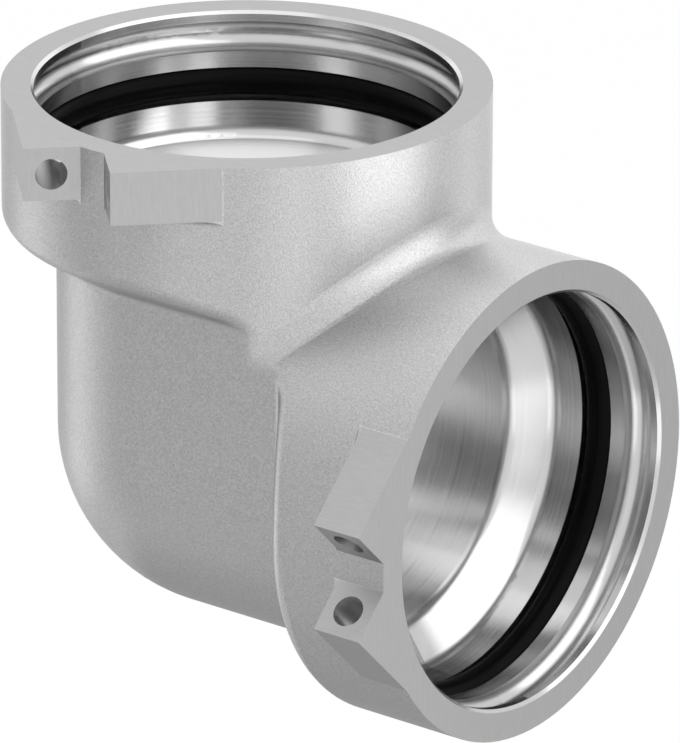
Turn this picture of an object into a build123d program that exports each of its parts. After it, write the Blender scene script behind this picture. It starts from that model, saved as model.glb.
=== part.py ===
from build123d import *
import math
import os

# A 90 degree riser elbow: one metal casting with two machined sockets, and a
# seal ring in each. Millimetres. The origin is where the two port axes cross.
# The upper port opens along +Z, the side port along +X, and the lugs that take
# the locking strips stand out on the -Y side of both.

# Casting outside
pipe_wall = 3.0
ring_groove_wall = 1.7
web_corner = 5.77
underside_slope = 30.0
underside_round = 3.2
underside_fillet = 2.4
crease_fillet = 4.5

# Machined socket, from the port face down: the mouth, the groove for the
# locking strip, the groove for the seal ring, the seat and the throat
seat_radius = 32.9
mouth_chamfer = 0.5
lock_depth = 4.25
upper_land = 2.65
ring_groove_width = 5.6
ring_groove_cut = 3.4
seat_length = 5.3
throat_length = 4.3
throat_round = 2.4
throat_above_underside = 1.6
waterway_radius = 26.6

# Seal ring
ring_section_radius = 2.4

# The locking strip's round section, and the lugs round its two channels
lock_radius = 2.5
lug_wall = 1.75
lug_mouth = 25.2
lug_root = 1.0

# The upper port looks along +Z and the side port along +X. In both, local y is
# the world's, so the lugs made at -Y stay there.
upper_port = Plane.XY
side_port = Plane(origin=(0, 0, 0), x_dir=(0, 0, -1), z_dir=(1, 0, 0))

# Radii outwards from the port axis
pipe_radius = waterway_radius + pipe_wall
ring_groove_radius = seat_radius + ring_groove_cut
socket_radius = ring_groove_radius + ring_groove_wall
skirt_radius = socket_radius + 2 * underside_round

# Depths below the port face
ring_groove_depth = lock_depth + lock_radius + upper_land
seat_depth = ring_groove_depth + ring_groove_width + seat_length
throat_depth = seat_depth + throat_length

# Heights above the crossing of the port axes. The two sockets' outsides meet
# the flat side of the web at one point, and the undersides start above it.
web_point = math.sqrt(socket_radius**2 - pipe_radius**2)
underside_height = web_point + web_corner
centre_to_face = underside_height + throat_above_underside + throat_depth
slope_rise = math.tan(math.radians(underside_slope))
skirt_top = underside_height + (skirt_radius - pipe_radius) * slope_rise
fillet_start = underside_height - underside_fillet
seat_end = centre_to_face - seat_depth
throat_start = centre_to_face - throat_depth
lug_half = lock_radius + lug_wall
lug_bottom = centre_to_face - lock_depth - lug_half
ring_centre_radius = ring_groove_radius - ring_section_radius
ring_centre_height = centre_to_face - ring_groove_depth - ring_section_radius


def lies_in_mitre(edge):
    return abs(edge.center().X - edge.center().Z) < 0.01 and edge.geom_type == GeomType.ELLIPSE


def bounds_underside(edge):
    """True along the outer edge of an underside and on down the web's corner"""
    for place in (0.02, 0.5, 0.98):
        p = edge.position_at(place)
        for height, reach in ((p.Z, math.hypot(p.X, p.Y)), (p.X, math.hypot(p.Z, p.Y))):
            if abs(reach - socket_radius) < 0.01 and 0 < height < skirt_top:
                break
        else:
            return False
    return not lies_in_mitre(edge)


# The section of one socket's sloping underside, from the port axis outwards.
# Turned round the outer half of the pipe it makes a cone, and drawn out
# straight it makes the slopes along the flat flanks of the web.
with BuildPart() as skirt:
    with BuildSketch(Plane.XZ) as section:
        with BuildLine():
            Polyline(
                (0, fillet_start),
                (pipe_radius, fillet_start),
                (pipe_radius, underside_height),
                (skirt_radius, skirt_top),
                (0, skirt_top),
                close=True,
            )
        make_face()
        root = vertices().group_by(Axis.Y)[1]
        fillet(root, underside_fillet)
    revolve(axis=Axis.Z)
    with BuildSketch(Plane.YZ):
        add(section.sketch_local)
    extrude(amount=skirt_top)
    mirror(about=Plane.XZ)

# What stays of the casting between the sockets: two pipes with a ball at the
# outer bend, a flat-sided web in the inner corner, and the two undersides
with BuildPart() as waist:
    for port in (upper_port, side_port):
        with BuildSketch(port):
            Circle(pipe_radius)
        extrude(amount=skirt_top)
    Sphere(pipe_radius)
    Box(skirt_top, 2 * pipe_radius, skirt_top, align=(Align.MIN, Align.CENTER, Align.MIN))
    add(skirt.part)
    mirror(skirt.part, about=Plane(origin=(0, 0, 0), z_dir=(1, 0, -1)))

with BuildPart() as relief:
    with BuildSketch(Plane.XZ):
        with Locations((skirt_top, skirt_top)):
            Rectangle(2 * skirt_radius, 2 * skirt_radius, align=(Align.MAX, Align.MAX))
    extrude(amount=skirt_radius, both=True)
    add(waist.part, mode=Mode.SUBTRACT)

# One port's machining, as cut in the upper port
with BuildPart() as bore:
    with BuildSketch(Plane.XZ):
        with BuildLine():
            Polyline(
                (0, 0),
                (waterway_radius, 0),
                (waterway_radius, throat_start),
                (seat_radius, seat_end),
                (seat_radius, centre_to_face - mouth_chamfer),
                (seat_radius + 2 * mouth_chamfer, centre_to_face + mouth_chamfer),
                (0, centre_to_face + mouth_chamfer),
                close=True,
            )
        make_face()
        throat = vertices().filter_by_position(Axis.Y, throat_start, seat_end)
        fillet(throat, throat_round)
    revolve(axis=Axis.Z)
    with BuildSketch(Plane.XY.offset(centre_to_face - ring_groove_depth)):
        Circle(ring_groove_radius)
    extrude(amount=-ring_groove_width)
    with BuildSketch(Plane.XZ):
        with Locations((seat_radius, centre_to_face - lock_depth)):
            Circle(lock_radius)
    revolve(axis=Axis.Z)
    Sphere(waterway_radius)
    mouth = Vector(-lug_mouth, -seat_radius, centre_to_face - lock_depth).rotate(Axis.Z, 45)
    with BuildSketch(Plane(origin=mouth, z_dir=(1, 1, 0))):
        Circle(lock_radius)
    extrude(amount=lug_mouth)
    mirror(about=Plane.YZ)

# One port's pair of lugs: square blocks round the two channels, flush with the
# port face, each with a small hollow round where its underside meets the socket
with BuildPart() as lugs:
    with BuildSketch(Plane.XZ):
        with Locations((socket_radius, lug_bottom)):
            Rectangle(2 * lug_root, lug_root, align=(Align.CENTER, Align.MAX))
        with Locations((socket_radius + lug_root, lug_bottom - lug_root)):
            Circle(lug_root, mode=Mode.SUBTRACT)
    revolve(axis=Axis.Z)
    with BuildSketch(Plane.XY.offset(centre_to_face)) as lug_outline:
        Rectangle(lug_mouth, seat_radius + lug_half, rotation=45, align=(Align.MAX, Align.MAX))
        mirror(about=Plane.YZ)
    extrude(amount=lug_bottom - lug_root - centre_to_face, mode=Mode.INTERSECT)
    with BuildSketch(Plane.XY.offset(centre_to_face)):
        add(lug_outline.sketch_local)
    extrude(amount=lug_bottom - centre_to_face)

with BuildPart() as elbow_body:
    for port in (upper_port, side_port):
        with BuildSketch(port):
            Circle(socket_radius)
        extrude(amount=centre_to_face)
    add(relief.part, mode=Mode.SUBTRACT)
    for port in (upper_port, side_port):
        with BuildSketch(port):
            Circle(pipe_radius)
        extrude(amount=fillet_start)
    Sphere(pipe_radius)
    fillet(elbow_body.edges().filter_by(bounds_underside), underside_round)
    fillet(elbow_body.edges().filter_by(lies_in_mitre), crease_fillet)
    with Locations(upper_port, side_port):
        add(lugs.part)
        add(bore.part, mode=Mode.SUBTRACT)
elbow_body.part.label = "elbow_body"

with BuildPart() as upper_seal_ring:
    with BuildSketch(Plane.XZ):
        with Locations((ring_centre_radius, ring_centre_height)):
            Circle(ring_section_radius)
    revolve(axis=Axis.Z)
upper_seal_ring.part.label = "upper_seal_ring"

with BuildPart() as side_seal_ring:
    with Locations(side_port):
        add(upper_seal_ring.part)
side_seal_ring.part.label = "side_seal_ring"

os.makedirs("parts", exist_ok=True)
export_step(elbow_body.part, "parts/elbow_body.step")
export_step(upper_seal_ring.part, "parts/upper_seal_ring.step")
export_step(side_seal_ring.part, "parts/side_seal_ring.step")
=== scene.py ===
import math

import bpy
from mathutils import Matrix, Vector


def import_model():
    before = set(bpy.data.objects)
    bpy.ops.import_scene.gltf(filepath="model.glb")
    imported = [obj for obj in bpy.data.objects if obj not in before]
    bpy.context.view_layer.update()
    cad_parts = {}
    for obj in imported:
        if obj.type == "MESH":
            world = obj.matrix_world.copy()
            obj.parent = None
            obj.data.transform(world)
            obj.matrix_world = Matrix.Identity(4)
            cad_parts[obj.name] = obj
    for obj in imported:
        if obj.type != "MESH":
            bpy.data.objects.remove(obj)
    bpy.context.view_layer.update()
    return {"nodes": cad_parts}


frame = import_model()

MILLIMETRE = 0.001  # in metres

# Sizes of the casting, in millimetres. A height is along a port's axis, from
# where the two axes cross.
PORT_FACE = 55.8
SOCKET_RADIUS = 38.0
LUG_BOTTOM = 47.3
CHANNEL_HEIGHT = 51.55
CHANNEL_OFFSET = 32.9
CHANNEL_RADIUS = 2.5

# The inside ends within the walls: at one radius in the pipe, at another in the
# socket, and between them on a cone. The cone starts at a height and gains its
# spread in radius for each millimetre further up.
PIPE_WALL_RADIUS = 28.1
SOCKET_WALL_RADIUS = 36.9
CONE_START = 29.8
CONE_SPREAD = 1.55

# How far from a surface its zone ends, so that rounding in the mesh is harmless
FACE_MARGIN = 0.02
LUG_MARGIN = 0.1
SOCKET_MARGIN = 0.06
CHANNEL_MARGIN = 0.04

# Finishes of the casting: grey levels and roughnesses, from low to high, and
# heights of the relief in millimetres
CAST_TONES = (0.43, 0.61)
CAST_MIDDLE_TONE = 0.50
CAST_ROUGHNESS = (0.33, 0.41)
DIMPLE_HEIGHT = 0.026
TURNED_TONES = (0.59, 0.64)
TURNED_ROUGHNESS = (0.18, 0.27)
LINE_HEIGHT = 0.0019
CHANNEL_ROUGHNESS = 0.45
FACE_TONE = 0.40
FACE_ROUGHNESS = 0.42
LUG_TONE = 0.45
LUG_ROUGHNESS = 0.40
RELIEF_STRENGTH = 0.6

# Noise in the finishes: its scale per millimetre, and the range of its values
# that a ramp goes over. The milling marks are close together along y only.
DIMPLE_SCALE = 3.8
MOTTLE_SCALE = 0.55
MOTTLE_SHARE = 0.3
LINE_SCALE = 4.0
LINE_RANGE = (0.34, 0.66)
MARK_SCALE = (0.35, 5.0, 0.35)
MARK_TONES = (0.96, 1.04)
NOISE_RANGE = (0.3, 0.7)
RUBBER_SCALE = 2.0

# Highlights are drawn out across the tool's lines: along the port's axis and a
# share of outwards. On the cast skin that direction has its pole this far left
# of the upper port's axis, in millimetres.
OUTWARDS_SHARE = 0.5
POLE_OFFSET = 45.0

# The studio, in metres and as shares of white
FLOOR_HEIGHT = -1.4
FLOOR_WIDTH = 40.0
FLOOR_TONE = 0.8
FLOOR_GLOW = 0.35
WALLS_AS_LIGHT = 0.8
WALLS_AS_SEEN = 1.0
LAMP_DISTANCE = 1.0
CARD_DISTANCE = 0.9

# Where a mix node has its two values and its result, for each kind of value
MIX_SOCKETS = {"FLOAT": (2, 3, 0), "VECTOR": (4, 5, 1), "RGBA": (6, 7, 2)}


class Tree:
    """A node tree with short calls that return the output of what they add"""

    def __init__(self, tree):
        self.nodes = tree.nodes
        self.links = tree.links
        self.nodes.clear()

    def add(self, kind, inputs, output=0, **settings):
        node = self.nodes.new(kind)
        for name, value in settings.items():
            setattr(node, name, value)
        for key, value in inputs.items():
            self.put(value, node.inputs[key])
        return node.outputs[output] if len(node.outputs) else node

    def put(self, value, socket):
        if isinstance(value, bpy.types.NodeSocket):
            self.links.new(value, socket)
        else:
            socket.default_value = value

    def math(self, operation, *values):
        return self.add("ShaderNodeMath", dict(enumerate(values)), operation=operation)

    def vector(self, operation, *vectors, output="Vector"):
        inputs = dict(enumerate(vectors))
        return self.add("ShaderNodeVectorMath", inputs, output, operation=operation)

    def scale(self, vector, factor):
        return self.add("ShaderNodeVectorMath", {0: vector, "Scale": factor}, operation="SCALE")

    def mix(self, factor, low, high, kind="FLOAT"):
        """A number, vector or colour that goes from low to high with the factor"""
        first, second, result = MIX_SOCKETS[kind]
        inputs = {0: factor, first: low, second: high}
        return self.add("ShaderNodeMix", inputs, result, data_type=kind)

    def mix_colour(self, factor, low, high):
        return self.mix(factor, low, high, "RGBA")

    def ramp(self, value, low, high):
        """0 at the low value and 1 at the high one"""
        return self.add("ShaderNodeMapRange", {"Value": value, "From Min": low, "From Max": high})

    def noise(self, place, scale, detail, roughness):
        inputs = {"Vector": place, "Scale": scale, "Detail": detail, "Roughness": roughness}
        return self.add("ShaderNodeTexNoise", inputs)

    def distance(self, first, second):
        """The distance from an axis, out of the two coordinates across it"""
        squares = [self.math("MULTIPLY", value, value) for value in (first, second)]
        return self.math("SQRT", self.math("ADD", *squares))

    def chain(self, operation, values):
        """The operation on the first two values, then on that and the next"""
        result = values[0]
        for value in values[1:]:
            result = self.math(operation, result, value)
        return result

    def all_of(self, *masks):
        """1 where each mask is 1"""
        return self.chain("MULTIPLY", masks)

    def any_of(self, *masks):
        """1 where one mask or more is 1"""
        return self.chain("MAXIMUM", masks)

    def where_not(self, mask):
        """1 where the mask is 0"""
        return self.math("SUBTRACT", 1.0, mask)


def grey(level):
    return (level, level, level, 1.0)


def material(name):
    """A new material, and its node tree to fill"""
    made = bpy.data.materials.new(name)
    made.use_nodes = True
    return made, Tree(made.node_tree)


def millimetres(t):
    """Where a point of the fitting is, in millimetres"""
    metres = t.add("ShaderNodeTexCoord", {}, "Object")
    return t.scale(metres, 1 / MILLIMETRE)


def port_coordinates(t, place, port):
    """(x across, y, height along the port's axis) in millimetres"""
    split = t.nodes.new("ShaderNodeSeparateXYZ")
    t.put(place, split.inputs[0])
    x, y, z = split.outputs
    return (x, y, z) if port == "upper" else (z, y, x)


def channel_mask(t, across, y, height):
    """1 in the two strip channels, which run at 45 degrees from the lugs into the socket"""
    side = t.math("ABSOLUTE", across)
    along = t.math("DIVIDE", t.math("ADD", side, y), math.sqrt(2))
    out = t.math("DIVIDE", t.math("SUBTRACT", y, side), math.sqrt(2))
    out = t.math("ADD", out, CHANNEL_OFFSET)
    up = t.math("SUBTRACT", height, CHANNEL_HEIGHT)
    return t.all_of(
        t.math("LESS_THAN", t.distance(out, up), CHANNEL_RADIUS + CHANNEL_MARGIN),
        t.math("LESS_THAN", along, 0.0),
        t.math("GREATER_THAN", height, LUG_BOTTOM),
    )


def port_masks(t, place, port):
    """Where one port is: (inside, on the port face, on a lug, in a strip channel)"""
    across, y, height = port_coordinates(t, place, port)
    radius = t.distance(across, y)
    rise = t.math("MAXIMUM", t.math("SUBTRACT", height, CONE_START), 0.0)
    cone = t.math("ADD", t.math("MULTIPLY", rise, CONE_SPREAD), PIPE_WALL_RADIUS)
    wall = t.math("MINIMUM", cone, SOCKET_WALL_RADIUS)
    face = t.math("GREATER_THAN", height, PORT_FACE - FACE_MARGIN)
    inside = t.all_of(
        t.math("LESS_THAN", radius, wall),
        t.math("GREATER_THAN", height, 0.0),
        t.where_not(face),
    )
    lug = t.all_of(
        t.math("GREATER_THAN", height, LUG_BOTTOM - LUG_MARGIN),
        t.math("GREATER_THAN", radius, SOCKET_RADIUS + SOCKET_MARGIN),
    )
    return inside, face, lug, channel_mask(t, across, y, height)


def turned_place(t, place, port):
    """(radius, height) for one port, so that a noise taken there makes lines round its axis"""
    across, y, height = port_coordinates(t, place, port)
    return t.add("ShaderNodeCombineXYZ", {"X": t.distance(across, y), "Y": height})


def across_turning(t, place, in_side):
    """The way across the tool's lines: along the port's axis on a wall, and outwards on a flat"""
    axis = t.add("ShaderNodeCombineXYZ", {"X": in_side, "Z": t.where_not(in_side)})
    height = t.vector("DOT_PRODUCT", axis, place, output="Value")
    outwards = t.vector("NORMALIZE", t.vector("SUBTRACT", place, t.scale(axis, height)))
    both = t.vector("ADD", axis, t.scale(outwards, OUTWARDS_SHARE))
    return t.vector("NORMALIZE", both)


def cast_metal():
    """The plated casting: blasted outside, turned in the sockets, milled on port faces and lugs"""
    made, t = material("plated_casting")
    place = millimetres(t)
    upper_inside, upper_face, upper_lug, upper_channel = port_masks(t, place, "upper")
    side_inside, side_face, side_lug, side_channel = port_masks(t, place, "side")
    ball = t.math("LESS_THAN", t.vector("LENGTH", place, output="Value"), PIPE_WALL_RADIUS)
    channel = t.any_of(upper_channel, side_channel)
    turned = t.any_of(upper_inside, side_inside, ball, channel)
    faced = t.all_of(t.any_of(upper_face, side_face), t.where_not(turned))
    lug = t.all_of(t.any_of(upper_lug, side_lug), t.where_not(channel))
    in_side = t.all_of(side_inside, t.where_not(upper_inside))

    # The blasted skin has dense dimples, a few tenths of a millimetre across
    grain = t.ramp(t.noise(place, DIMPLE_SCALE, detail=1.5, roughness=0.5), *NOISE_RANGE)
    mottle = t.noise(place, MOTTLE_SCALE, detail=4.0, roughness=0.55)
    cast_colour = t.mix_colour(grain, *map(grey, CAST_TONES))
    mottle_share = t.math("MULTIPLY", mottle, MOTTLE_SHARE)
    cast_colour = t.mix_colour(mottle_share, cast_colour, grey(CAST_MIDDLE_TONE))
    cast_roughness = t.mix(mottle, *CAST_ROUGHNESS)

    # Fine turned lines run round each port's axis, but not in the drilled channels
    upper_place = turned_place(t, place, "upper")
    side_place = turned_place(t, place, "side")
    line_place = t.mix(in_side, upper_place, side_place, "VECTOR")
    line_noise = t.noise(line_place, LINE_SCALE, detail=4.0, roughness=0.75)
    lines = t.all_of(t.ramp(line_noise, *LINE_RANGE), t.where_not(channel))
    turned_colour = t.mix_colour(lines, *map(grey, TURNED_TONES))
    turned_roughness = t.mix(lines, *TURNED_ROUGHNESS)

    # The port faces and the lugs were milled flat, which left faint straight marks
    mark_place = t.vector("MULTIPLY", place, MARK_SCALE)
    marks = t.ramp(t.noise(mark_place, 1.0, detail=2.0, roughness=0.6), *NOISE_RANGE)
    milled_tone = t.math("MULTIPLY", t.mix(faced, LUG_TONE, FACE_TONE), t.mix(marks, *MARK_TONES))
    milled_inputs = dict.fromkeys(("Red", "Green", "Blue"), milled_tone)
    milled_colour = t.add("ShaderNodeCombineColor", milled_inputs)

    colour = t.mix_colour(turned, cast_colour, turned_colour)
    colour = t.mix_colour(t.any_of(faced, lug), colour, milled_colour)
    roughness = t.mix(turned, cast_roughness, turned_roughness)
    roughness = t.mix(channel, roughness, CHANNEL_ROUGHNESS)
    roughness = t.mix(faced, roughness, FACE_ROUGHNESS)
    roughness = t.mix(lug, roughness, LUG_ROUGHNESS)

    dimples = t.math("MULTIPLY", t.where_not(t.any_of(turned, faced, lug)), grain)
    dimple_relief = t.math("MULTIPLY", dimples, DIMPLE_HEIGHT)
    relief = t.math("ADD", dimple_relief, t.math("MULTIPLY", lines, LINE_HEIGHT))
    bump_inputs = {"Height": relief, "Strength": RELIEF_STRENGTH, "Distance": MILLIMETRE}
    bump = t.add("ShaderNodeBump", bump_inputs)

    # Outwards has no direction on the axis itself, and the cast skin crosses the upper port's
    # axis under the bend. So on that skin the axis is taken further left, clear of the casting.
    aside = t.scale((POLE_OFFSET, 0.0, 0.0), t.where_not(turned))
    clear_of_pole = t.vector("ADD", place, aside)
    shader = t.add(
        "ShaderNodeBsdfPrincipled",
        {
            "Base Color": colour,
            "Metallic": 1.0,
            "Roughness": roughness,
            "Normal": bump,
            "Specular Tint": grey(0.6),
            "Anisotropic": 0.7,
            "Tangent": across_turning(t, clear_of_pole, in_side),
        },
    )
    t.add("ShaderNodeOutputMaterial", {"Surface": shader})
    return made


def seal_rubber():
    made, t = material("seal_rubber")
    skin = t.noise(millimetres(t), RUBBER_SCALE, detail=3.0, roughness=0.6)
    shader = t.add(
        "ShaderNodeBsdfPrincipled",
        {
            "Base Color": t.mix_colour(skin, grey(0.002), grey(0.005)),
            "Roughness": t.mix(skin, 0.20, 0.26),
            "IOR": 1.2,
            "Specular IOR Level": 0.18,
        },
    )
    t.add("ShaderNodeOutputMaterial", {"Surface": shader})
    return made


def seen_rays(t):
    """1 where the camera, a reflection or something clear shows the surface"""
    path = t.nodes.new("ShaderNodeLightPath")
    kinds = ("Camera", "Glossy", "Transmission")
    return t.any_of(*(path.outputs["Is %s Ray" % kind] for kind in kinds))


def floor():
    """A wide pale floor, well below a fitting that its pipes hold up"""
    bpy.ops.mesh.primitive_plane_add(size=FLOOR_WIDTH, location=(0, 0, FLOOR_HEIGHT))
    ground = bpy.context.object
    ground.name = "floor"
    made, t = material("pale_floor")
    diffuse = t.add("ShaderNodeBsdfDiffuse", {"Color": grey(FLOOR_TONE)})
    strength = t.math("MULTIPLY", seen_rays(t), FLOOR_GLOW)
    glow = t.add("ShaderNodeEmission", {"Color": grey(1.0), "Strength": strength})
    shader = t.add("ShaderNodeAddShader", {0: diffuse, 1: glow})
    t.add("ShaderNodeOutputMaterial", {"Surface": shader})
    ground.data.materials.append(made)


def world():
    """White studio walls, with less light from them than a camera or a reflection sees"""
    made = bpy.data.worlds.new("studio")
    bpy.context.scene.world = made
    made.use_nodes = True
    t = Tree(made.node_tree)
    walls = t.add("ShaderNodeBackground", {"Color": grey(1.0), "Strength": WALLS_AS_LIGHT})
    seen = t.add("ShaderNodeBackground", {"Color": grey(1.0), "Strength": WALLS_AS_SEEN})
    shader = t.add("ShaderNodeMixShader", {0: seen_rays(t), 1: walls, 2: seen})
    t.add("ShaderNodeOutputWorld", {"Surface": shader})


def direction(azimuth, elevation):
    """Unit vector from the fitting. Azimuth 0 is in front, on the -Y side, and 90 is +X."""
    a = math.radians(azimuth)
    e = math.radians(elevation)
    return Vector((math.sin(a) * math.cos(e), -math.cos(a) * math.cos(e), math.sin(e)))


def face_the_part(thing, azimuth, elevation, distance):
    """Puts a lamp or card in a direction from the part, with its front towards it"""
    out = direction(azimuth, elevation)
    thing.location = out * distance
    thing.rotation_euler = (-out).to_track_quat("-Z", "Y").to_euler()


def width_at(half_angle, distance):
    """The width in metres that takes twice the half angle, seen from the part"""
    return 2 * distance * math.tan(math.radians(half_angle))


def softbox(name, azimuth, elevation, half_width, half_height, radiance):
    """A lamp on a sphere round the part, facing it. It adds its radiance to the walls behind it."""
    data = bpy.data.lights.new(name, "AREA")
    data.shape = "RECTANGLE"
    data.size = width_at(half_width, LAMP_DISTANCE)
    data.size_y = width_at(half_height, LAMP_DISTANCE)
    # An area lamp's radiance is its power over four times its area
    data.energy = 4 * radiance * data.size * data.size_y
    lamp = bpy.data.objects.new(name, data)
    face_the_part(lamp, azimuth, elevation, LAMP_DISTANCE)
    lamp.visible_camera = False
    bpy.context.scene.collection.objects.link(lamp)


def flag(name, azimuth, elevation, half_width, half_height, level):
    """A grey card that keeps part of the white studio out of the reflections"""
    bpy.ops.mesh.primitive_plane_add(size=1.0)
    card = bpy.context.object
    card.name = name
    width = width_at(half_width, CARD_DISTANCE)
    height = width_at(half_height, CARD_DISTANCE)
    card.scale = (width, height, 1.0)
    face_the_part(card, azimuth, elevation, CARD_DISTANCE)
    card.visible_camera = card.visible_diffuse = card.visible_shadow = False
    made, t = material(name)
    shader = t.add("ShaderNodeBsdfDiffuse", {"Color": grey(level)})
    t.add("ShaderNodeOutputMaterial", {"Surface": shader})
    card.data.materials.append(made)


def lights():
    """Each lamp and card has an azimuth, an elevation, half its width and half its height, all
    in degrees, and then its radiance or grey level."""
    softbox("right_low", 104, -18, 20, 12, 1.15)
    softbox("right_front", 58, -24, 11, 11, 0.5)
    softbox("right_high", 100, 38, 30, 32, 0.74)
    softbox("right_back", 168, -20, 13, 14, 0.4)
    softbox("left_low", -86, -23, 8, 10, 0.8)
    softbox("left_high", -104, 56, 18, 16, 0.32)
    softbox("top", 20, 86, 18, 18, 0.42)
    softbox("back_window", -146, 18, 40, 38, 0.5)
    flag("front_card", -40, -10, 14, 38, 0.55)
    flag("front_strip", -12, -12, 4, 33, 0.5)
    flag("under_card", 11, -89, 39, 50, 0.6)


def camera():
    """The photograph's view, from in front, to the right and above"""
    place = Vector((0.863624, -1.100361, 0.565535))
    aim = Vector((0.009852, 0.010978, 0.006780))
    roll = math.radians(0.1706)
    data = bpy.data.cameras.new("camera")
    data.lens = 467.61
    data.clip_start = 0.05
    data.clip_end = 100.0
    made = bpy.data.objects.new("camera", data)
    turn = (aim - place).to_track_quat("-Z", "Y").to_matrix().to_4x4()
    made.matrix_world = Matrix.Translation(place) @ turn @ Matrix.Rotation(roll, 4, "Z")
    bpy.context.scene.collection.objects.link(made)
    bpy.context.scene.camera = made


def dress(node, finish):
    """Gives a CAD piece its one material"""
    piece = frame["nodes"][node]
    piece.data.materials.clear()
    piece.data.materials.append(finish)


bpy.context.scene.view_settings.view_transform = "Standard"
dress("elbow_body", cast_metal())
rubber = seal_rubber()
for ring in ("upper_seal_ring", "side_seal_ring"):
    dress(ring, rubber)
floor()
world()
lights()
camera()
